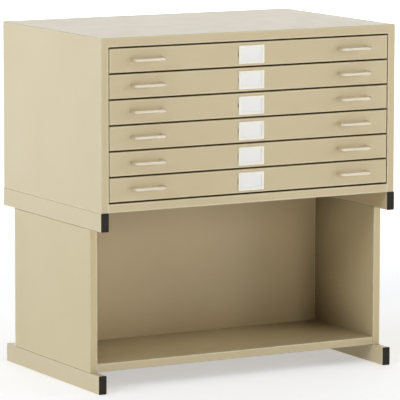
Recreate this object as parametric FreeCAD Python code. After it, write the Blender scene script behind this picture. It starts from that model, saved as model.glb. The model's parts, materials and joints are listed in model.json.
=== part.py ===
"""Six-drawer steel flat file on an open base with a book shelf.

Millimetres, +Z up, +X to the right, +Y towards the back, so the drawers open along -Y.
The origin is on the floor, under the centre of the whole cabinet's bounding box.
Each physical piece is written to its own STEP file in parts/.
"""

import FreeCAD, Part
import math
import os

from FreeCAD import Vector

# Case: the sheet steel cabinet that holds the drawers
case_width = 1030.0
case_depth = 665.0
case_sheet = 1.2
case_bend = 3.0
stile_width = 26.0
top_rail_height = 28.0
bottom_rail_height = 26.0
bottom_rail_bend = 2.0
frame_return = 18.0
rear_flange = 12.0

# Drawers: flush fronts inside the case frame, one pitch apart
drawer_count = 6
drawer_pitch = 77.6
drawer_gap = 5.2
drawer_side_gap = 3.0
drawer_travel = 520.0
front_depth = 18.0
front_bend = 2.5
front_back_flange = 12.0
tray_sheet = 1.0
tray_bend = 2.5
tray_half_width = 474.0
tray_length = 624.0
tray_height = 60.0
tray_floor_rise = 5.0
tray_ledge = 12.5
hood_depth = 90.0
hood_lip = 8.0

# Pulls: bent round rod, two on each drawer
pull_rod = 12.0
pull_length = 110.0
pull_projection = 32.0
pull_bend = 7.0
pull_rise = 1.5
pull_inset = 155.0

# Label holders and their cards
holder_width = 88.5
holder_height = 56.0
holder_thickness = 3.0
holder_border = 7.5
holder_drop = 1.2
holder_corner = 2.0
holder_edge = 1.0
card_margin = 3.0
card_thickness = 0.8
card_play = 0.3
thumb_hole_radius = 8.0
thumb_hole_reach = 3.5

# Rollers and the runners that carry them
roller_radius = 10.0
roller_width = 8.0
roller_bore_radius = 3.05
roller_edge = 0.8
roller_dish_depth = 1.0
roller_dish_inner = 5.0
roller_dish_outer = 8.4
roller_gap = 0.3
tray_roller_inset = 22.0
pin_radius = 3.0
pin_head_radius = 4.6
pin_head_thickness = 1.0
pin_end_play = 0.3
roller_side_play = 1.8
runner_sheet = 1.2
runner_rise = 12.0
runner_channel = 21.0
runner_channel_width = 12.2
runner_front_inset = 22.0
runner_rear_inset = 12.0
case_roller_inset = 44.0
roller_plate_length = 36.0
roller_plate_drop = 1.0
stop_play = 0.5
post_length = 40.0
post_front_inset = 26.0
post_rear_inset = 35.0

# Base: two end frames, a shelf and a back panel
rail_width = 25.4
rail_height = 57.0
rail_wall = 2.0
rail_corner = 3.0
foot_inset = 17.0
side_panel_height = 439.0
side_panel_front_inset = 76.0
side_panel_rear_inset = 73.0
panel_bend = 3.0
shelf_height = 25.0
shelf_bend = 2.0
shelf_back_inset = 433.0
shelf_return = 12.0
shelf_relief_width = 1.5
shelf_relief_depth = 4.0
base_back_flange = 20.0
cap_thickness = 2.0
cap_edge = 0.8
plug_depth = 14.0
plug_wall = 1.5
plug_clearance = 0.1
plug_corner = 1.5

# Bolts from the case floor into the upper rails
bolt_radius = 3.0
bolt_hole_radius = 3.3
bolt_length = 16.0
bolt_head_flats = 10.0
bolt_head_height = 4.0
bolt_end_inset = 110.0

# How far a cutting shape passes the faces it cuts, and how close counts as the same place
past = 1.0
near = 1e-3

# Worked-out places
half_width = case_width / 2
case_height = (top_rail_height + drawer_count * drawer_pitch + drawer_gap
               + bottom_rail_height)
panel_bottom = rail_height
panel_top = panel_bottom + side_panel_height
case_bottom = panel_top + rail_height
case_top = case_bottom + case_height
total_depth = pull_projection + case_depth + cap_thickness
case_front = pull_projection - total_depth / 2
case_rear = case_front + case_depth
inner_half_width = half_width - case_sheet
opening_half_width = half_width - stile_width
opening_bottom = case_bottom + bottom_rail_height
opening_top = case_top - top_rail_height
front_half_width = opening_half_width - drawer_side_gap
front_height = drawer_pitch - drawer_gap
panel_front = case_front + side_panel_front_inset
panel_rear = case_rear - side_panel_rear_inset
bay_half_width = half_width - rail_width
shelf_top = panel_bottom + shelf_height
shelf_rear = case_front + shelf_back_inset
tray_front = case_front + front_depth
tray_rear = tray_front + tray_length
ledge_half_width = tray_half_width + tray_ledge
runner_web_inner = opening_half_width - runner_sheet
runner_mouth = runner_web_inner - runner_channel_width
tray_roller_y = tray_rear - tray_roller_inset
case_roller_y = case_front + case_roller_inset
tray_roller_rise = runner_rise + runner_sheet + roller_gap + roller_radius
case_roller_rise = (tray_floor_rise + tray_height - tray_sheet
                    - roller_gap - roller_radius)
tray_roller_inner = tray_half_width + roller_side_play
case_roller_outer = runner_web_inner - roller_side_play


def block(x_low, x_high, y_low, y_high, z_low, z_high):
    """A box between two corners."""
    size = Vector(x_high - x_low, y_high - y_low, z_high - z_low)
    return Part.makeBox(size.x, size.y, size.z, Vector(x_low, y_low, z_low))


def side_block(side, x_inner, x_outer, y_low, y_high, z_low, z_high):
    """A box on the left (side -1) or right (side +1), given by its distances from the middle."""
    x_low, x_high = sorted((side * x_inner, side * x_outer))
    return block(x_low, x_high, y_low, y_high, z_low, z_high)


def fused(shapes):
    """One solid out of touching shapes, with the joint lines removed."""
    first, rest = shapes[0], shapes[1:]
    if not rest:
        return first
    return first.fuse(rest).removeSplitter()


def rounded(shape, radius, wanted):
    """Fillet the edges whose middle point passes the wanted test."""
    edges = [edge for edge in shape.Edges if wanted(edge.BoundBox.Center, edge)]
    return shape.makeFillet(radius, edges)


def runs_along(edge, axis):
    """True if a straight edge lies along the given axis, 0 for X, 1 for Y and 2 for Z."""
    ends = [vertex.Point for vertex in edge.Vertexes]
    travel = ends[1] - ends[0]
    others = [travel[i] for i in range(3) if i != axis]
    return max(abs(value) for value in others) < near


def rod(start, end, radius):
    """A round bar between two points."""
    return Part.makeCylinder(radius, (end - start).Length, start, end - start)


def drawer_bottom(number):
    """Height of the lower edge of a drawer's front; drawer 1 is the top one."""
    return opening_top - number * drawer_pitch


def save(node, shapes):
    """Write one node, a single solid or a group of separate solids."""
    shape = shapes[0] if len(shapes) == 1 else Part.makeCompound(shapes)
    shape.exportStep(os.path.join("parts", node + ".step"))


def wrapped_box(inset):
    """The case's outer form moved in by inset, with bent top, side and front edges."""
    side = half_width - inset
    front = case_front + inset
    top = case_top - inset
    body = block(-side, side, front, case_rear, case_bottom, top)
    front_edge = front + near
    top_edge = top - near

    def on_bend(middle, edge):
        along_top = middle.z > top_edge and runs_along(edge, 1)
        along_front_top = middle.z > top_edge and middle.y < front_edge and runs_along(edge, 0)
        up_front = middle.y < front_edge and runs_along(edge, 2)
        return along_top or along_front_top or up_front

    return rounded(body, case_bend - inset, on_bend)


def make_case_shell():
    """Top, sides, stiles and top rail, folded from one sheet."""
    sheet = case_sheet
    skin = wrapped_box(0.0).cut(wrapped_box(sheet))
    mouth = block(-opening_half_width, opening_half_width, case_front - past,
                  case_front + sheet + past, case_bottom - past, opening_top)
    pieces = [skin.cut(mouth)]
    for side in (-1, 1):
        pieces.append(side_block(side, opening_half_width, opening_half_width + sheet,
                                 case_front + sheet / 2, case_front + frame_return,
                                 case_bottom + sheet, opening_top + sheet))
        pieces.append(side_block(side, inner_half_width - rear_flange, inner_half_width + sheet / 2,
                                 case_rear - sheet, case_rear,
                                 case_bottom + sheet, case_top - sheet / 2))
    pieces.append(block(-opening_half_width, opening_half_width, case_front + sheet / 2,
                        case_front + frame_return, opening_top, opening_top + sheet))
    pieces.append(block(-inner_half_width, inner_half_width, case_rear - sheet, case_rear,
                        case_top - sheet - rear_flange, case_top - sheet / 2))
    return fused(pieces)


def bolt_places():
    """The bolts' places along X and Y, over the two upper rails."""
    rail_middle = half_width - rail_width / 2
    return [(side * rail_middle, y)
            for side in (-1, 1)
            for y in (case_front + bolt_end_inset, case_rear - bolt_end_inset)]


def drill_bolt_holes(shape, z_low, z_high):
    """Clearance holes for the base bolts between two heights."""
    for x, y in bolt_places():
        shape = shape.cut(rod(Vector(x, y, z_low), Vector(x, y, z_high), bolt_hole_radius))
    return shape


def make_case_bottom():
    """Floor of the case, with the bottom rail folded up from its front edge."""
    sheet = case_sheet
    rail_front = block(-opening_half_width, opening_half_width, case_front, case_front + frame_return,
                       case_bottom, opening_bottom)
    rail_front = rounded(rail_front, bottom_rail_bend, lambda middle, edge: runs_along(edge, 0)
                         and middle.y < case_front + near)
    rail_hollow = block(-opening_half_width, opening_half_width, case_front + sheet,
                        case_front + frame_return + past, case_bottom + sheet,
                        opening_bottom - sheet)
    pieces = [
        rail_front.cut(rail_hollow),
        block(-inner_half_width, inner_half_width, case_front + frame_return - sheet, case_rear,
              case_bottom, case_bottom + sheet),
        block(-inner_half_width + rear_flange, inner_half_width - rear_flange, case_rear - sheet,
              case_rear, case_bottom, case_bottom + rear_flange),
    ]
    return drill_bolt_holes(fused(pieces), case_bottom - past, case_bottom + sheet + past)


def make_case_back():
    """Flat back sheet, welded inside the rear flanges."""
    sheet = case_sheet
    return block(-inner_half_width, inner_half_width, case_rear - 2 * sheet, case_rear - sheet,
                 case_bottom + sheet, case_top - case_bend)


def make_post(side, y_low):
    """Upright hat channel that spaces the runners off the case side."""
    sheet = case_sheet
    z_low = case_bottom + sheet
    z_high = case_top - case_bend
    outside = side_block(side, opening_half_width, inner_half_width, y_low, y_low + post_length,
                         z_low, z_high)
    hollow = side_block(side, opening_half_width + sheet, inner_half_width + past, y_low + sheet,
                        y_low + post_length - sheet, z_low - past, z_high + past)
    return outside.cut(hollow)


def make_posts():
    """Two posts on each side of the case."""
    starts = (case_front + post_front_inset, case_rear - post_rear_inset - post_length)
    return [make_post(side, y_low) for side in (-1, 1) for y_low in starts]


def headed_pin(x_start, x_end, y, z):
    """Riveted pin from a wall to its head, along X."""
    towards = 1 if x_end > x_start else -1
    shank = rod(Vector(x_start, y, z), Vector(x_end, y, z), pin_radius)
    head_start = Vector(x_end - towards * pin_head_thickness, y, z)
    head = rod(head_start, Vector(x_end, y, z), pin_head_radius)
    return shank.fuse(head)


def make_runner(side, number):
    """Channel for a drawer's rear roller, with stop tabs and the pin of the front roller."""
    sheet = runner_sheet
    base = drawer_bottom(number)
    y_low = case_front + runner_front_inset
    y_high = case_rear - runner_rear_inset
    z_low = base + runner_rise
    z_high = z_low + runner_channel + 2 * sheet
    channel = side_block(side, runner_mouth, opening_half_width, y_low, y_high, z_low, z_high)
    hollow = side_block(side, runner_mouth - past, runner_web_inner, y_low - past, y_high + past,
                        z_low + sheet, z_high - sheet)
    plate = side_block(side, runner_web_inner, opening_half_width, y_low,
                       y_low + roller_plate_length, z_low,
                       base + case_roller_rise + roller_radius - roller_plate_drop)
    rear_stop_y = tray_roller_y + roller_radius + stop_play
    front_stop_y = tray_roller_y - drawer_travel - roller_radius - stop_play
    rear_stop = side_block(side, runner_mouth, opening_half_width, rear_stop_y,
                           rear_stop_y + sheet, z_low, z_high)
    front_stop = side_block(side, runner_mouth, opening_half_width, front_stop_y - sheet,
                            front_stop_y, z_low, z_high)
    pin = headed_pin(side * (runner_web_inner + sheet / 2),
                     side * (case_roller_outer - roller_width - pin_head_thickness - pin_end_play),
                     case_roller_y, base + case_roller_rise)
    return fused([channel.cut(hollow), plate, rear_stop, front_stop, pin])


def make_roller(x_low, y, z):
    """Nylon roller with rounded tread edges and dished faces."""
    middle_low = Vector(x_low, y, z)
    middle_high = Vector(x_low + roller_width, y, z)
    wheel = rod(middle_low, middle_high, roller_radius)
    wheel = rounded(wheel, roller_edge, lambda middle, edge: len(edge.Vertexes) == 1)
    bore = rod(middle_low - Vector(past, 0, 0), middle_high + Vector(past, 0, 0), roller_bore_radius)
    wheel = wheel.cut(bore)
    for x_start, x_end in ((x_low, x_low + roller_dish_depth),
                           (x_low + roller_width - roller_dish_depth, x_low + roller_width)):
        ring = rod(Vector(x_start, y, z), Vector(x_end, y, z), roller_dish_outer)
        ring = ring.cut(rod(Vector(x_start, y, z), Vector(x_end, y, z), roller_dish_inner))
        wheel = wheel.cut(ring)
    return wheel


def make_case_rollers(number):
    """The two rollers at the case's front that carry a drawer's ledges."""
    z = drawer_bottom(number) + case_roller_rise
    left = make_roller(-case_roller_outer, case_roller_y, z)
    right = make_roller(case_roller_outer - roller_width, case_roller_y, z)
    return [left, right]


def make_tray_rollers(number):
    """The two rollers at a drawer's rear that run in the case's channels."""
    z = drawer_bottom(number) + tray_roller_rise
    left = make_roller(-tray_roller_inner - roller_width, tray_roller_y, z)
    right = make_roller(tray_roller_inner, tray_roller_y, z)
    return [left, right]


def make_tray(number):
    """Drawer tray: floor, walls, side ledges, rear hood and the rear rollers' pins."""
    sheet = tray_sheet
    base = drawer_bottom(number) + tray_floor_rise
    top = base + tray_height
    half = tray_half_width

    def on_floor_bend(middle, edge):
        return middle.z < base + 2 * sheet and not runs_along(edge, 2)

    outside = rounded(block(-half, half, tray_front, tray_rear, base, top), tray_bend, on_floor_bend)
    inside = rounded(block(-half + sheet, half - sheet, tray_front + sheet, tray_rear - sheet,
                           base + sheet, top + past), tray_bend - sheet, on_floor_bend)
    pieces = [outside.cut(inside)]
    pieces.append(block(-half + sheet / 2, half - sheet / 2, tray_rear - hood_depth,
                        tray_rear - sheet / 2, top - sheet, top))
    pieces.append(block(-half + sheet / 2, half - sheet / 2, tray_rear - hood_depth,
                        tray_rear - hood_depth + sheet, top - hood_lip, top))
    for side in (-1, 1):
        pieces.append(side_block(side, half - sheet / 2, ledge_half_width, tray_front, tray_rear,
                                 top - sheet, top))
        pieces.append(headed_pin(side * (half - sheet / 2),
                                 side * (tray_roller_inner + roller_width
                                         + pin_head_thickness + pin_end_play),
                                 tray_roller_y, drawer_bottom(number) + tray_roller_rise))
    return fused(pieces)


def holder_middle(number):
    """Height of the middle of a label holder."""
    return drawer_bottom(number) + front_height / 2 - holder_drop


def make_front(number):
    """Drawer front: a folded pan with an inward flange all round its back and a thumb hole."""
    sheet = case_sheet
    base = drawer_bottom(number)
    top = base + front_height
    back = case_front + front_depth

    def around_face(front):
        return lambda middle, edge: middle.y < front + near

    outside = rounded(block(-front_half_width, front_half_width, case_front, back, base, top),
                      front_bend, around_face(case_front))
    inner_front = case_front + sheet
    inside = rounded(block(-front_half_width + sheet, front_half_width - sheet, inner_front,
                           back - sheet, base + sheet, top - sheet),
                     front_bend - sheet, around_face(inner_front))
    border = sheet + front_back_flange
    window = block(-front_half_width + border, front_half_width - border, back - sheet - past,
                   back + past, base + border, top - border)
    middle_x = -holder_width / 2 + thumb_hole_radius - thumb_hole_reach
    hole = rod(Vector(middle_x, case_front - past, holder_middle(number)),
               Vector(middle_x, case_front + sheet + past, holder_middle(number)),
               thumb_hole_radius)
    return outside.cut(inside).cut(window).cut(hole)


def make_pull(number, middle_x):
    """Bent rod pull: two legs out of the front and a bar across, with rounded corners."""
    z = drawer_bottom(number) + front_height / 2 + pull_rise
    half = (pull_length - pull_rod) / 2
    bar_y = case_front - pull_projection + pull_rod / 2
    bend = pull_bend
    slack = bend * (1 - math.cos(math.pi / 4))
    left = middle_x - half
    right = middle_x + half
    points = [
        Vector(left, case_front, z),
        Vector(left, bar_y + bend, z),
        Vector(left + slack, bar_y + slack, z),
        Vector(left + bend, bar_y, z),
        Vector(right - bend, bar_y, z),
        Vector(right - slack, bar_y + slack, z),
        Vector(right, bar_y + bend, z),
        Vector(right, case_front, z),
    ]
    path = Part.Wire([
        Part.LineSegment(points[0], points[1]).toShape(),
        Part.Arc(points[1], points[2], points[3]).toShape(),
        Part.LineSegment(points[3], points[4]).toShape(),
        Part.Arc(points[4], points[5], points[6]).toShape(),
        Part.LineSegment(points[6], points[7]).toShape(),
    ])
    ring = Part.Wire(Part.makeCircle(pull_rod / 2, points[0], Vector(0, -1, 0)))
    return path.makePipeShell([ring], True, False)


def make_pulls(number):
    """The left and right pulls of one drawer."""
    middle = half_width - pull_inset
    return [make_pull(number, side * middle) for side in (-1, 1)]


def make_label_holder(number):
    """Raised frame with a window, and a pocket behind it for the card."""
    middle = holder_middle(number)
    half_w = holder_width / 2
    half_h = holder_height / 2
    face = case_front - holder_thickness
    plate = block(-half_w, half_w, face, case_front, middle - half_h, middle + half_h)
    plate = rounded(plate, holder_corner, lambda centre, edge: runs_along(edge, 1))
    plate = rounded(plate, holder_edge, lambda centre, edge: centre.y < face + near)
    window = block(-half_w + holder_border, half_w - holder_border, face - past,
                   case_front + past, middle - half_h + holder_border,
                   middle + half_h - holder_border)
    pocket = block(-half_w + card_margin, half_w - card_margin,
                   case_front - card_thickness - card_play, case_front + past,
                   middle - half_h + card_margin, middle + half_h - card_margin)
    return plate.cut(window).cut(pocket)


def make_label_card(number):
    """Blank card behind the holder's window."""
    middle = holder_middle(number)
    half_w = holder_width / 2 - card_margin - card_play
    half_h = holder_height / 2 - card_margin - card_play
    return block(-half_w, half_w, case_front - card_thickness, case_front,
                 middle - half_h, middle + half_h)


def make_tube(side, y_low, y_high, z_low):
    """Rectangular steel tube along Y, flush with the cabinet's side."""
    outside = side_block(side, bay_half_width, half_width, y_low, y_high, z_low,
                         z_low + rail_height)
    outside = rounded(outside, rail_corner, lambda middle, edge: runs_along(edge, 1))
    hollow = side_block(side, bay_half_width + rail_wall, half_width - rail_wall, y_low - past,
                        y_high + past, z_low + rail_wall, z_low + rail_height - rail_wall)
    hollow = rounded(hollow, rail_corner - rail_wall, lambda middle, edge: runs_along(edge, 1))
    return outside.cut(hollow)


def make_upper_rail(side):
    """Rail under the case, drilled for the bolts."""
    rail = make_tube(side, case_front, case_rear, panel_top)
    return drill_bolt_holes(rail, case_bottom - rail_wall - past, case_bottom + past)


def make_foot_rail(side):
    """Rail that rests on the floor."""
    return make_tube(side, case_front + foot_inset, case_rear - foot_inset, 0.0)


def make_cap(side, mouth_y, outward, z_low):
    """Push-in cap of a tube's end: a plate over the end and a hollow plug inside."""
    z_high = z_low + rail_height
    y_low, y_high = sorted((mouth_y, mouth_y + outward * cap_thickness))
    plate = side_block(side, bay_half_width, half_width, y_low, y_high, z_low, z_high)
    plate = rounded(plate, rail_corner, lambda middle, edge: runs_along(edge, 1))
    outer_face = mouth_y + outward * cap_thickness
    plate = rounded(plate, cap_edge, lambda middle, edge: abs(middle.y - outer_face) < near)
    fit = rail_wall + plug_clearance
    y_low, y_high = sorted((mouth_y, mouth_y - outward * plug_depth))
    plug = side_block(side, bay_half_width + fit, half_width - fit, y_low, y_high,
                      z_low + fit, z_high - fit)
    plug = rounded(plug, plug_corner, lambda middle, edge: runs_along(edge, 1))
    core = fit + plug_wall
    inner_end = mouth_y - outward * (plug_depth + past)
    y_low, y_high = sorted((mouth_y, inner_end))
    hollow = side_block(side, bay_half_width + core, half_width - core, y_low, y_high,
                        z_low + core, z_high - core)
    return fused([plate, plug.cut(hollow)])


def make_end_caps():
    """All eight caps, at both ends of the four rails."""
    runs = (
        (case_front, case_rear, panel_top),
        (case_front + foot_inset, case_rear - foot_inset, 0.0),
    )
    caps = []
    for side in (-1, 1):
        for y_low, y_high, z_low in runs:
            caps.append(make_cap(side, y_low, -1, z_low))
            caps.append(make_cap(side, y_high, 1, z_low))
    return caps


def make_base_side(side):
    """Outer pan of an end frame: the side sheet and its four returns."""
    sheet = case_sheet

    def around_face(face):
        return lambda middle, edge: abs(abs(middle.x) - face) < near

    outside = side_block(side, bay_half_width, half_width, panel_front, panel_rear,
                         panel_bottom, panel_top)
    outside = rounded(outside, panel_bend, around_face(half_width))
    inner_face = half_width - sheet
    hollow = side_block(side, bay_half_width - past, inner_face, panel_front + sheet,
                        panel_rear - sheet, panel_bottom + sheet, panel_top - sheet)
    hollow = rounded(hollow, panel_bend - sheet, around_face(inner_face))
    return outside.cut(hollow)


def make_base_liner(side):
    """Inner sheet that closes an end frame."""
    sheet = case_sheet
    return side_block(side, bay_half_width, bay_half_width + sheet, panel_front + sheet,
                      panel_rear - sheet, panel_bottom + sheet, panel_top - sheet)


def make_shelf():
    """Book shelf: a pan turned down, long edges returned underneath, lip relieved at its ends."""
    sheet = case_sheet
    outside = block(-bay_half_width, bay_half_width, panel_front, shelf_rear, panel_bottom,
                    shelf_top)
    outside = rounded(outside, shelf_bend, lambda middle, edge: runs_along(edge, 0)
                      and middle.y < panel_front + near)
    hollow = block(-bay_half_width + sheet, bay_half_width - sheet, panel_front + sheet,
                   shelf_rear - sheet, panel_bottom + sheet, shelf_top - sheet)
    mouth = block(-bay_half_width + sheet, bay_half_width - sheet, panel_front + shelf_return,
                  shelf_rear - shelf_return, panel_bottom - past, panel_bottom + sheet + past)
    shelf = outside.cut(hollow).cut(mouth)
    for side in (-1, 1):
        shelf = shelf.cut(side_block(side, bay_half_width - shelf_relief_width,
                                     bay_half_width + past, panel_front - past,
                                     panel_front + shelf_relief_depth,
                                     panel_bottom - past, shelf_top + past))
    return shelf


def make_base_back():
    """Back of the book space: a pan with its flanges turned to the rear."""
    sheet = case_sheet
    rear = shelf_rear + base_back_flange
    outside = block(-bay_half_width, bay_half_width, shelf_rear, rear, panel_bottom, case_bottom)
    hollow = block(-bay_half_width + sheet, bay_half_width - sheet, shelf_rear + sheet, rear + past,
                   panel_bottom + sheet, case_bottom - sheet)
    return outside.cut(hollow)


def make_bolt(x, y):
    """Hexagon bolt, head on the case floor and shank through the rail's top wall."""
    floor_top = case_bottom + case_sheet
    corner = bolt_head_flats / math.sqrt(3)
    corners = [Vector(x + corner * math.cos(math.radians(60 * i)),
                      y + corner * math.sin(math.radians(60 * i)), floor_top) for i in range(7)]
    head = Part.Face(Part.makePolygon(corners)).extrude(Vector(0, 0, bolt_head_height))
    shank = rod(Vector(x, y, floor_top - bolt_length), Vector(x, y, floor_top + past),
                bolt_radius)
    return fused([head, shank])


def build_case():
    """The case, its posts, its runners and the rollers at its front."""
    save("case_shell", [make_case_shell()])
    save("case_bottom", [make_case_bottom()])
    save("case_back", [make_case_back()])
    save("case_posts", make_posts())
    numbers = range(1, drawer_count + 1)
    save("runners_left", [make_runner(-1, number) for number in numbers])
    save("runners_right", [make_runner(1, number) for number in numbers])
    for number in numbers:
        save("case_rollers_%d" % number, make_case_rollers(number))


def build_drawer(number):
    """Every piece of one drawer."""
    name = "drawer_%d_" % number
    save(name + "tray", [make_tray(number)])
    save(name + "front", [make_front(number)])
    save(name + "pulls", make_pulls(number))
    save(name + "label_holder", [make_label_holder(number)])
    save(name + "label_card", [make_label_card(number)])
    save(name + "rear_rollers", make_tray_rollers(number))


def build_base():
    """End frames, shelf, back panel, caps and bolts."""
    for side, word in ((-1, "left"), (1, "right")):
        save("base_side_" + word, [make_base_side(side)])
        save("upper_rail_" + word, [make_upper_rail(side)])
        save("foot_rail_" + word, [make_foot_rail(side)])
    save("base_liners", [make_base_liner(side) for side in (-1, 1)])
    save("rail_end_caps", make_end_caps())
    save("shelf", [make_shelf()])
    save("base_back", [make_base_back()])
    save("base_bolts", [make_bolt(x, y) for x, y in bolt_places()])


os.makedirs("parts", exist_ok=True)
build_case()
for drawer in range(1, drawer_count + 1):
    build_drawer(drawer)
build_base()
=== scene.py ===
"""Looks of the flat file cabinet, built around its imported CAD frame. Metres, the CAD's own frame."""
import json
import math

import bpy
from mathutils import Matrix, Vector

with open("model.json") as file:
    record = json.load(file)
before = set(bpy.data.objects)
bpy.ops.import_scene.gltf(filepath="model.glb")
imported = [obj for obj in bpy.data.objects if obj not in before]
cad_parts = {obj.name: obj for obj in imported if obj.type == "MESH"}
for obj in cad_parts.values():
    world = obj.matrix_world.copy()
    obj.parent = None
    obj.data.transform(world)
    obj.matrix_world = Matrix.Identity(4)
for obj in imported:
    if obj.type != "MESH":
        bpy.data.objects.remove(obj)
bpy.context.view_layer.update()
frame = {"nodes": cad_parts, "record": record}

nodes = frame["nodes"]

# Camera: a long lens far off, to the left of the front and a little above the cabinet's top
CAMERA_PLACE = Vector((-5.127, -9.245, 2.007))
CAMERA_HEADING = math.radians(28.99)
CAMERA_TILT = math.radians(8.0)
CAMERA_ROLL = math.radians(-0.09)
CAMERA_LENS = 306.4
CAMERA_SENSOR = 36.0
CAMERA_REACH = 200.0

WHITE = (1.0, 1.0, 1.0)
COOL_WHITE = (0.88, 1.0, 1.20)
WARM_WHITE = (1.0, 0.93, 0.82)

# Floor: its glow grows from the near value to the far one between the two distances
FLOOR_SIZE = 120.0
FLOOR_SHADE = 0.82
FLOOR_ROUGHNESS = 0.9
FLOOR_NEAR = 1.5
FLOOR_FAR = 7.0
FLOOR_GLOW_NEAR = 0.43
FLOOR_GLOW_FAR = 1.00

# Surroundings: soft bright patches, each with its heading and height in degrees, the cosine of
# the angle at which it starts, and its strength
WALL_PATCHES = (
    (0.0, 89.0, 0.3, 0.50),
    (150.0, 5.0, 0.6, 1.42),
    (-145.0, 5.0, 0.6, 0.4),
)

# Suns: name, heading and height in degrees, strength, softness in degrees, colour, and whether
# they light surfaces, show as a highlight in them, or both
SUNS = (
    ("left_light", -90.0, 18.0, 0.98, 25.0, COOL_WHITE, "light"),
    ("left_front_light", -62.0, 30.0, 0.57, 20.0, WHITE, "both"),
    ("front_light", 8.0, 16.0, 0.28, 12.0, WHITE, "both"),
    ("right_front_light", 40.0, 10.0, 0.38, 20.0, WHITE, "light"),
    ("right_front_gleam", 36.0, 32.0, 0.50, 24.0, WARM_WHITE, "highlight"),
    ("right_light", 64.0, 12.0, 0.72, 20.0, WHITE, "light"),
)

# The nodes around the open book space
BOOK_SPACE = ("base_liners", "shelf", "case_bottom")

# Enamel: colours as linear red, green and blue, and tinted copies of them on the base: a yellower copy
# on its sides as painted light, and a darker, warmer copy on its back as painted shade
PAINT = (0.590, 0.495, 0.305)
PAINT_DEEP = (0.562, 0.466, 0.280)
PAINT_THIN_AND_HIGHLIGHT = (0.780, 0.710, 0.520)
NO_TINT = (1.0, 1.0, 1.0)
SIDE_LIGHT_TINT = (0.985, 0.980, 0.910)
BACK_SHADE_TINT = (0.950, 0.900, 0.850)

# Enamel: thin, lighter paint, which is also a painted highlight along edges and bends, reaches this
# far from an edge, and bends are this round
EDGE_WIDTH = 0.0055
BEND_RADIUS = 0.002
BEND_SAMPLES = 6

# Enamel: noise scales in waves per metre, the range of roughness, and the orange peel's depth
CLOUD_SCALE = 3.0
THINNING_SCALE = 35.0
GLOSS_SCALE = 14.0
PEEL_SCALE = 420.0
PEEL_DEPTH = 0.00006
PEEL_STRENGTH = 0.5
PAINT_SMOOTHEST = 0.285
PAINT_ROUGHEST = 0.35

# Painted shade: its colours, and how wide the gaps, corners or hollows are that it darkens. A point's
# openness runs from 0 to 1, painted shade is full below the first openness and gone above the second.
# Painted shade browning the narrow gaps between parts and the corners they make
GAP_SHADE = (0.50, 0.35, 0.12)
GAP_SHADE_REACH = 0.010
GAP_SHADE_OPENNESS = (0.15, 0.60)
# Painted shade darkening the corners of the open book space
BAY_SHADE = (0.160, 0.112, 0.054)
BAY_SHADE_REACH = 0.35
BAY_SHADE_OPENNESS = (0.30, 0.57)
OPENNESS_SAMPLES = 8

# The other materials' colours, as linear red, green and blue, and the scale of zinc's crystals
STEEL = (0.56, 0.56, 0.55)
ZINC = (0.62, 0.61, 0.58)
SPANGLE_SCALE = 120.0
NICKEL = (0.87, 0.80, 0.67)
IVORY = (0.90, 0.87, 0.78)
CARD = (0.86, 0.85, 0.82)
NYLON = (0.80, 0.78, 0.71)
CAP_BLACK = (0.022, 0.016, 0.012)


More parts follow.
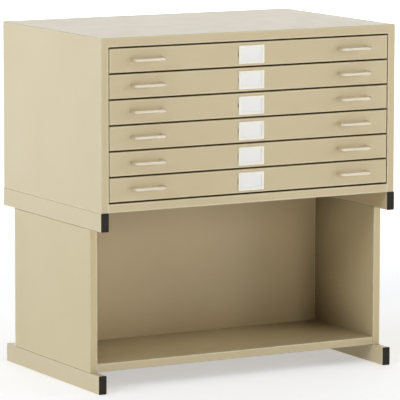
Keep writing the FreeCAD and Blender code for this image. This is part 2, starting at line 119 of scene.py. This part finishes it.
class Graph:
    """A material's node tree with short calls for adding nodes and links."""

    def __init__(self, name):
        self.material = bpy.data.materials.new(name)
        self.material.use_nodes = True
        self.tree = self.material.node_tree
        self.shader = self.tree.nodes["Principled BSDF"]
        self.place = self.node("ShaderNodeTexCoord").outputs["Object"]

    def node(self, kind, **settings):
        """A new node with some of its settings."""
        made = self.tree.nodes.new(kind)
        for key, value in settings.items():
            setattr(made, key, value)
        return made

    def link(self, source, target):
        """A link from one node's output to another's input."""
        self.tree.links.new(source, target)

    def noise(self, scale, detail=2.0, roughness=0.5, stretch=None):
        """Noise over the object's own coordinates, stretched along an axis if asked."""
        made = self.node("ShaderNodeTexNoise")
        made.inputs["Scale"].default_value = scale
        made.inputs["Detail"].default_value = detail
        made.inputs["Roughness"].default_value = roughness
        source = self.place
        if stretch:
            mapping = self.node("ShaderNodeMapping")
            mapping.inputs["Scale"].default_value = stretch
            self.link(source, mapping.inputs["Vector"])
            source = mapping.outputs["Vector"]
        self.link(source, made.inputs["Vector"])
        return made.outputs["Fac"]

    def spread(self, value, low=0.0, high=1.0, start=0.3, end=0.7):
        """A value mapped from start..end to low..high. Noise mostly lies between 0.3 and 0.7."""
        made = self.node("ShaderNodeMapRange")
        made.inputs["From Min"].default_value = start
        made.inputs["From Max"].default_value = end
        made.inputs["To Min"].default_value = low
        made.inputs["To Max"].default_value = high
        self.link(value, made.inputs["Value"])
        return made.outputs["Result"]

    def blend(self, factor, first, second):
        """A colour between two colours, the first at factor 0 and the second at 1."""
        made = self.node("ShaderNodeMix", data_type="RGBA")
        self.link(factor, made.inputs["Factor"])
        for socket, colour in ((made.inputs["A"], first), (made.inputs["B"], second)):
            if hasattr(colour, "links"):
                self.link(colour, socket)
            else:
                socket.default_value = (*colour, 1.0)
        return made.outputs["Result"]

    def bump(self, heights, distance, strength=0.5):
        """Bump from a height, on top of any normal that the shader already has."""
        made = self.node("ShaderNodeBump")
        made.inputs["Distance"].default_value = distance
        made.inputs["Strength"].default_value = strength
        self.link(heights, made.inputs["Height"])
        existing = self.shader.inputs["Normal"].links
        if existing:
            self.link(existing[0].from_socket, made.inputs["Normal"])
        self.link(made.outputs["Normal"], self.shader.inputs["Normal"])

    def rounded(self, radius):
        """The surface's normal with its edges and bends rounded off."""
        made = self.node("ShaderNodeBevel", samples=BEND_SAMPLES)
        made.inputs["Radius"].default_value = radius
        return made.outputs["Normal"]

    def edges(self, width):
        """1 beside an edge or bend of the object, 0 away from it."""
        likeness = self.node("ShaderNodeVectorMath", operation="DOT_PRODUCT")
        self.link(self.rounded(width), likeness.inputs[0])
        self.link(self.node("ShaderNodeNewGeometry").outputs["Normal"], likeness.inputs[1])
        return self.spread(likeness.outputs["Value"], start=0.995, end=0.90)

    def shelter(self, reach, openness):
        """1 deep in a gap, corner or hollow of a size, 0 in the open."""
        made = self.node("ShaderNodeAmbientOcclusion", samples=OPENNESS_SAMPLES)
        made.inputs["Distance"].default_value = reach
        deepest, most_open = openness
        return self.spread(made.outputs["AO"], low=1.0, high=0.0, start=deepest, end=most_open)

    def combine(self, operation, first, second):
        """Two values multiplied or added."""
        made = self.node("ShaderNodeMath", operation=operation)
        self.link(first, made.inputs[0])
        self.link(second, made.inputs[1])
        return made.outputs["Value"]

    def give(self, source, socket):
        """A value that changes over the surface, for a socket of the shader."""
        self.link(source, self.shader.inputs[socket])

    def set(self, **values):
        """Values set straight on the shader's sockets."""
        for key, value in values.items():
            self.shader.inputs[key.replace("_", " ")].default_value = value


def tinted(colour, tint):
    """A colour multiplied by a tint."""
    return tuple(value * factor for value, factor in zip(colour, tint))


def darker(colour, share):
    """A colour with a share of its brightness."""
    return tuple(share * value for value in colour)


def paint_material(name, tint=NO_TINT, shade_gaps=True, shade_bay=False):
    """Satin baked enamel: faint cloudy tone, thinner and lighter at the bends, which is also a painted
    highlight there, fine orange peel.
    Painted shade browns its narrow gaps, and more painted shade darkens the corners of the open book
    space."""
    graph = Graph(name)
    cloud = graph.spread(graph.noise(CLOUD_SCALE, detail=3.0))
    tone = graph.blend(cloud, tinted(PAINT, tint), tinted(PAINT_DEEP, tint))
    patchy = graph.spread(graph.noise(THINNING_SCALE, detail=4.0), low=0.35)
    # Lighter thin paint at edges and bends, partly a painted highlight along them
    thinning_and_highlight = graph.combine("MULTIPLY", graph.edges(EDGE_WIDTH), patchy)
    tone = graph.blend(thinning_and_highlight, tone, PAINT_THIN_AND_HIGHLIGHT)
    mottle = graph.noise(GLOSS_SCALE, detail=4.0, roughness=0.6)
    gloss = graph.spread(mottle, PAINT_SMOOTHEST, PAINT_ROUGHEST)
    # Painted shade in the corners of the open book space
    if shade_bay:
        tone = graph.blend(graph.shelter(BAY_SHADE_REACH, BAY_SHADE_OPENNESS), tone, BAY_SHADE)
    # Painted shade browning the narrow gaps and corners, which are also made rougher
    if shade_gaps:
        gap_shade_mask = graph.shelter(GAP_SHADE_REACH, GAP_SHADE_OPENNESS)
        tone = graph.blend(gap_shade_mask, tone, GAP_SHADE)
        gloss = graph.combine("ADD", gloss, gap_shade_mask)
    graph.give(tone, "Base Color")
    graph.give(gloss, "Roughness")
    graph.give(graph.rounded(BEND_RADIUS), "Normal")
    graph.bump(graph.noise(PEEL_SCALE), PEEL_DEPTH, PEEL_STRENGTH)
    graph.set(Specular_IOR_Level=0.5)
    return graph.material


def steel_material(name, colour, smoothest, roughest):
    """Plated sheet steel with a faint spangle and rolling grain."""
    graph = Graph(name)
    spangle = graph.node("ShaderNodeTexVoronoi")
    spangle.inputs["Scale"].default_value = SPANGLE_SCALE
    graph.link(graph.place, spangle.inputs["Vector"])
    shade = graph.spread(spangle.outputs["Color"], start=0.0, end=1.0)
    graph.give(graph.blend(shade, colour, darker(colour, share=0.82)), "Base Color")
    grain = graph.noise(scale=60.0, detail=3.0, roughness=0.6, stretch=(40.0, 1.0, 40.0))
    graph.give(graph.spread(grain, smoothest, roughest), "Roughness")
    graph.bump(grain, distance=0.00004)
    graph.set(Metallic=1.0)
    return graph.material


def pull_material():
    """Satin nickel with fine polishing lines along the bar."""
    graph = Graph("satin_nickel")
    lines = graph.noise(scale=90.0, detail=4.0, roughness=0.6, stretch=(1.0, 30.0, 30.0))
    graph.give(graph.blend(graph.spread(lines), NICKEL, darker(NICKEL, share=0.9)), "Base Color")
    graph.give(graph.spread(lines, low=0.52, high=0.64), "Roughness")
    graph.bump(lines, distance=0.00003, strength=0.4)
    graph.set(Metallic=1.0)
    return graph.material


def plastic_material(name, colour, smoothest, roughest, grain_size, grain_depth, specular=0.5):
    """Moulded plastic with a fine grain and slight tone changes."""
    graph = Graph(name)
    cloud = graph.spread(graph.noise(scale=30.0, detail=3.0))
    graph.give(graph.blend(cloud, colour, darker(colour, share=0.92)), "Base Color")
    graph.give(graph.spread(graph.noise(scale=80.0), smoothest, roughest), "Roughness")
    graph.bump(graph.noise(scale=1.0 / grain_size), distance=grain_depth, strength=0.6)
    graph.set(Specular_IOR_Level=specular)
    return graph.material


def card_material():
    """Blank card with a faint fibre."""
    graph = Graph("blank_card")
    fibre = graph.noise(scale=500.0, detail=4.0, roughness=0.7, stretch=(1.0, 1.0, 3.0))
    graph.give(graph.blend(graph.spread(fibre), CARD, darker(CARD, share=0.95)), "Base Color")
    graph.bump(fibre, distance=0.00004)
    graph.set(Roughness=0.85)
    return graph.material


def dress(names, material):
    """One material on CAD nodes."""
    for name in names:
        slots = nodes[name].data.materials
        slots.clear()
        slots.append(material)


def dress_nodes():
    """A procedural material on every CAD node, by its record slot, and enamel of its own on the trays,
    the book space with its painted shade, and the base's sides and back, whose tinted copies paint
    light and shade."""
    by_slot = {
        "paint": paint_material("sand_enamel"),
        "bare_steel": steel_material("galvanised_steel", STEEL, smoothest=0.32, roughest=0.46),
        "zinc": steel_material("zinc_plate", ZINC, smoothest=0.24, roughest=0.38),
        "pull_metal": pull_material(),
        "holder_plastic": plastic_material("ivory_plastic", IVORY, smoothest=0.30, roughest=0.40,
                                           grain_size=0.002, grain_depth=0.00002),
        "card": card_material(),
        "nylon": plastic_material("nylon", NYLON, smoothest=0.40, roughest=0.50,
                                  grain_size=0.001, grain_depth=0.00003),
        "cap_plastic": plastic_material("cap_plastic", CAP_BLACK, smoothest=0.50, roughest=0.60,
                                        grain_size=0.0008, grain_depth=0.00006, specular=0.25),
    }
    for row in frame["record"]["subparts"]:
        dress([row["node"]], by_slot[row["material_slot"]])
    trays = [name for name in nodes if name.endswith("_tray")]
    dress(trays, paint_material("tray_enamel", shade_gaps=False))
    # The book space's enamel has painted shade in its corners
    dress(BOOK_SPACE, paint_material("book_space_enamel_painted_shade", shade_bay=True))
    # A yellower copy of the enamel on the base's sides: painted light, in place of their duller sheen
    dress(("base_side_left", "base_side_right"), paint_material("side_enamel_painted_light", SIDE_LIGHT_TINT))
    # A darker, warmer copy of the enamel on the base's back: painted shade
    dress(("base_back",), paint_material("back_enamel_painted_shade", BACK_SHADE_TINT))


def floor_material():
    """Plain pale floor, self-lit like a light table and brighter far from the object."""
    graph = Graph("pale_floor")
    graph.set(Base_Color=(FLOOR_SHADE, FLOOR_SHADE, FLOOR_SHADE, 1.0), Roughness=FLOOR_ROUGHNESS,
              Specular_IOR_Level=0.0, Emission_Color=(*WHITE, 1.0))
    distance = graph.node("ShaderNodeVectorMath", operation="LENGTH")
    graph.link(graph.place, distance.inputs[0])
    glow = graph.node("ShaderNodeMapRange", interpolation_type="SMOOTHSTEP")
    for socket, value in (("From Min", FLOOR_NEAR), ("From Max", FLOOR_FAR),
                          ("To Min", FLOOR_GLOW_NEAR), ("To Max", FLOOR_GLOW_FAR)):
        glow.inputs[socket].default_value = value
    graph.link(distance.outputs["Value"], glow.inputs["Value"])
    graph.give(glow.outputs["Result"], "Emission Strength")
    return graph.material


def make_floor():
    """A wide flat floor at the object's feet."""
    bpy.ops.mesh.primitive_plane_add(size=FLOOR_SIZE, location=(0.0, 0.0, 0.0))
    floor = bpy.context.object
    floor.name = "studio_floor"
    floor.data.materials.append(floor_material())


def compass(heading, height):
    """Unit vector towards a place in the studio: heading 0 in front, 90 at the right."""
    turn = math.radians(heading)
    rise = math.radians(height)
    level = math.cos(rise)
    return Vector((math.sin(turn) * level, -math.cos(turn) * level, math.sin(rise)))


def add_sun(name, heading, height, strength, softness, colour, use):
    """A soft light from far away on the given side."""
    light = bpy.data.lights.new(name, "SUN")
    light.energy = strength
    light.angle = math.radians(softness)
    light.color = colour
    lamp = bpy.data.objects.new(name, light)
    lamp.visible_diffuse = use != "highlight"
    lamp.visible_glossy = use != "light"
    lamp.rotation_euler = compass(heading, height).to_track_quat("Z", "Y").to_euler()
    bpy.context.scene.collection.objects.link(lamp)


def add_patch(tree, direction, heading, height, edge, strength):
    """The brightness of one soft patch of the surroundings, 0 outside it."""
    facing = tree.nodes.new("ShaderNodeVectorMath")
    facing.operation = "DOT_PRODUCT"
    facing.inputs[1].default_value = compass(heading, height)
    tree.links.new(direction, facing.inputs[0])
    patch = tree.nodes.new("ShaderNodeMapRange")
    patch.interpolation_type = "SMOOTHSTEP"
    patch.inputs["From Min"].default_value = edge
    patch.inputs["To Max"].default_value = strength
    tree.links.new(facing.outputs["Value"], patch.inputs["Value"])
    return patch.outputs["Result"]


def light_surroundings():
    """Dark surroundings with soft white patches, whose brightnesses add up."""
    world = bpy.data.worlds.new("studio")
    world.use_nodes = True
    tree = world.node_tree
    background = tree.nodes["Background"]
    background.inputs["Color"].default_value = (*WHITE, 1.0)
    direction = tree.nodes.new("ShaderNodeTexCoord").outputs["Generated"]
    first, *others = [add_patch(tree, direction, *patch) for patch in WALL_PATCHES]
    total = first
    for brightness in others:
        adder = tree.nodes.new("ShaderNodeMath")
        adder.operation = "ADD"
        tree.links.new(total, adder.inputs[0])
        tree.links.new(brightness, adder.inputs[1])
        total = adder.outputs["Value"]
    tree.links.new(total, background.inputs["Strength"])
    bpy.context.scene.world = world


def light_studio():
    """Soft surroundings and soft suns, shown as they are without a film look."""
    light_surroundings()
    for sun in SUNS:
        add_sun(*sun)
    bpy.context.scene.view_settings.view_transform = "Standard"


def place_camera():
    """The camera, aimed by its heading, tilt and roll."""
    data = bpy.data.cameras.new("camera")
    data.lens = CAMERA_LENS
    data.sensor_width = CAMERA_SENSOR
    data.clip_end = CAMERA_REACH
    camera = bpy.data.objects.new("camera", data)
    camera.location = CAMERA_PLACE
    camera.rotation_euler = (math.pi / 2 - CAMERA_TILT, CAMERA_ROLL, -CAMERA_HEADING)
    bpy.context.scene.collection.objects.link(camera)
    bpy.context.scene.camera = camera


place_camera()
make_floor()
light_studio()
dress_nodes()
